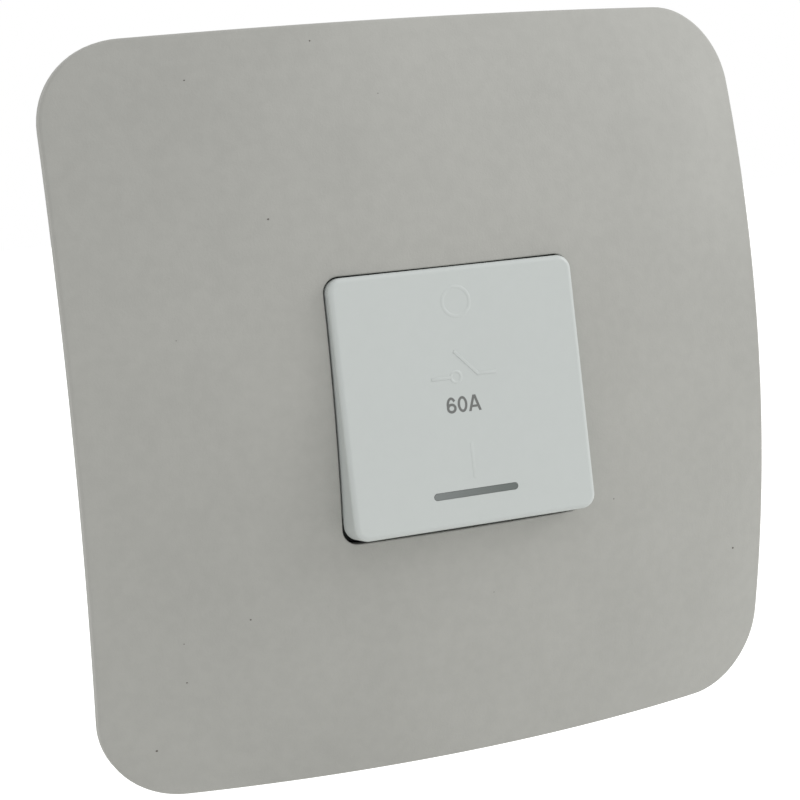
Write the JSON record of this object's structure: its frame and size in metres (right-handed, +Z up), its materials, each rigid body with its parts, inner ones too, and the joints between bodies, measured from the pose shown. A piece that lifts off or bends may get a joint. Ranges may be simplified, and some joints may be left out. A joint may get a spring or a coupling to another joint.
{
  "type": "isolator switch",
  "caption": "Flush wall isolator switch with a wide domed cover plate, a square rocker with a light bar, a pressed frame and sprung see-saw contacts.",
  "frame": {"origin": "midway between the two wall-screw holes, on the back of the frame", "axes": "+Y into the wall, +Z up, +X to the right seen from the front; the rocker faces -Y"},
  "size_m": [0.12, 0.0546, 0.12],
  "materials": {
    "plate_plastic": "fine matt texture, warm light grey",
    "rocker_plastic": "smooth, pale cool grey-white",
    "lens": "translucent grey",
    "zinc_sheet": "zinc plated sheet",
    "steel": "plated steel",
    "spring_steel": "drawn wire",
    "brass": "plain",
    "copper": "copper strip",
    "silver": "silver contact faces",
    "housing_plastic": "moulded thermoset",
    "plunger_plastic": "smooth",
    "board": "bare phenolic board",
    "lamp_glass": "small neon lamp",
    "resistor_body": "lacquered"
  },
  "bodies": {
    "housing": {"cover_plate": "plate_plastic", "mounting_frame": "zinc_sheet", "earth_screw": "steel", "earth_washer": "brass", "module_body": "housing_plastic", "terminal_housing": "housing_plastic", "rear_cover": "housing_plastic", "housing_screws": "steel", "lamp_board": "board", "indicator_lamp": "lamp_glass", "lamp_resistor": "resistor_body", "fixed_contact_left": "silver", "line_strip_left": "copper", "load_bracket_left": "copper", "fixed_contact_right": "silver", "line_strip_right": "copper", "load_bracket_right": "copper"},
    "rocker": {"rocker": "rocker_plastic", "indicator_lens": "lens", "plunger_spring_left": "spring_steel", "plunger_spring_right": "spring_steel"},
    "plunger_left": {"plunger_left": "plunger_plastic"},
    "contact_left": {"moving_contact_left": "copper", "moving_tip_left": "silver"},
    "terminal_screw_top_left": {"terminal_screw_top_left": "steel"},
    "terminal_cage_top_left": {"terminal_cage_top_left": "brass"},
    "terminal_screw_bottom_left": {"terminal_screw_bottom_left": "steel"},
    "terminal_cage_bottom_left": {"terminal_cage_bottom_left": "brass"},
    "plunger_right": {"plunger_right": "plunger_plastic"},
    "contact_right": {"moving_contact_right": "copper", "moving_tip_right": "silver"},
    "terminal_screw_top_right": {"terminal_screw_top_right": "steel"},
    "terminal_cage_top_right": {"terminal_cage_top_right": "brass"},
    "terminal_screw_bottom_right": {"terminal_screw_bottom_right": "steel"},
    "terminal_cage_bottom_right": {"terminal_cage_bottom_right": "brass"}
  },
  "joints": [
    {"name": "rocker_tilt", "type": "hinge", "parent": "housing", "child": "rocker", "pos_m": [0, -0.01365, 0], "axis": [1, 0, 0], "range_deg": [0, 10.8]},
    {"name": "plunger_press_left", "type": "slide", "parent": "rocker", "child": "plunger_left", "axis": [0, -0.9956, 0.0941], "range_m": [0, 0.0008], "stiffness_N_per_m": 600, "springref_m": -0.0025, "deforming": ["plunger_spring_left"]},
    {"name": "contact_rock_left", "type": "hinge", "parent": "housing", "child": "contact_left", "pos_m": [-0.0105, 0.00305, 0], "axis": [1, 0, 0], "range_deg": [-12.5, 0]},
    {"name": "screw_turn_top_left", "type": "hinge", "parent": "housing", "child": "terminal_screw_top_left", "pos_m": [-0.0105, 0.02685, 0.015], "axis": [0, -1, 0], "range_deg": [0, 1836]},
    {"name": "cage_rise_top_left", "type": "slide", "parent": "housing", "child": "terminal_cage_top_left", "axis": [0, 1, 0], "range_m": [0, 0.004]},
    {"name": "screw_turn_bottom_left", "type": "hinge", "parent": "housing", "child": "terminal_screw_bottom_left", "pos_m": [-0.0105, 0.02685, -0.015], "axis": [0, -1, 0], "range_deg": [0, 1836]},
    {"name": "cage_rise_bottom_left", "type": "slide", "parent": "housing", "child": "terminal_cage_bottom_left", "axis": [0, 1, 0], "range_m": [0, 0.004]},
    {"name": "plunger_press_right", "type": "slide", "parent": "rocker", "child": "plunger_right", "axis": [0, -0.9956, 0.0941], "range_m": [0, 0.0008], "stiffness_N_per_m": 600, "springref_m": -0.0025, "deforming": ["plunger_spring_right"]},
    {"name": "contact_rock_right", "type": "hinge", "parent": "housing", "child": "contact_right", "pos_m": [0.0105, 0.00305, 0], "axis": [1, 0, 0], "range_deg": [-12.5, 0]},
    {"name": "screw_turn_top_right", "type": "hinge", "parent": "housing", "child": "terminal_screw_top_right", "pos_m": [0.0105, 0.02685, 0.015], "axis": [0, -1, 0], "range_deg": [0, 1836]},
    {"name": "cage_rise_top_right", "type": "slide", "parent": "housing", "child": "terminal_cage_top_right", "axis": [0, 1, 0], "range_m": [0, 0.004]},
    {"name": "screw_turn_bottom_right", "type": "hinge", "parent": "housing", "child": "terminal_screw_bottom_right", "pos_m": [0.0105, 0.02685, -0.015], "axis": [0, -1, 0], "range_deg": [0, 1836]},
    {"name": "cage_rise_bottom_right", "type": "slide", "parent": "housing", "child": "terminal_cage_bottom_right", "axis": [0, 1, 0], "range_m": [0, 0.004]}
  ],
  "couplings": [
    {"joint": "contact_rock_left", "follows": "rocker_tilt", "ratio": -1.148},
    {"joint": "screw_turn_top_left", "follows": "cage_rise_top_left", "rad_per_m": 7854},
    {"joint": "screw_turn_bottom_left", "follows": "cage_rise_bottom_left", "rad_per_m": 7854},
    {"joint": "contact_rock_right", "follows": "rocker_tilt", "ratio": -1.148},
    {"joint": "screw_turn_top_right", "follows": "cage_rise_top_right", "rad_per_m": 7854},
    {"joint": "screw_turn_bottom_right", "follows": "cage_rise_bottom_right", "rad_per_m": 7854}
  ]
}
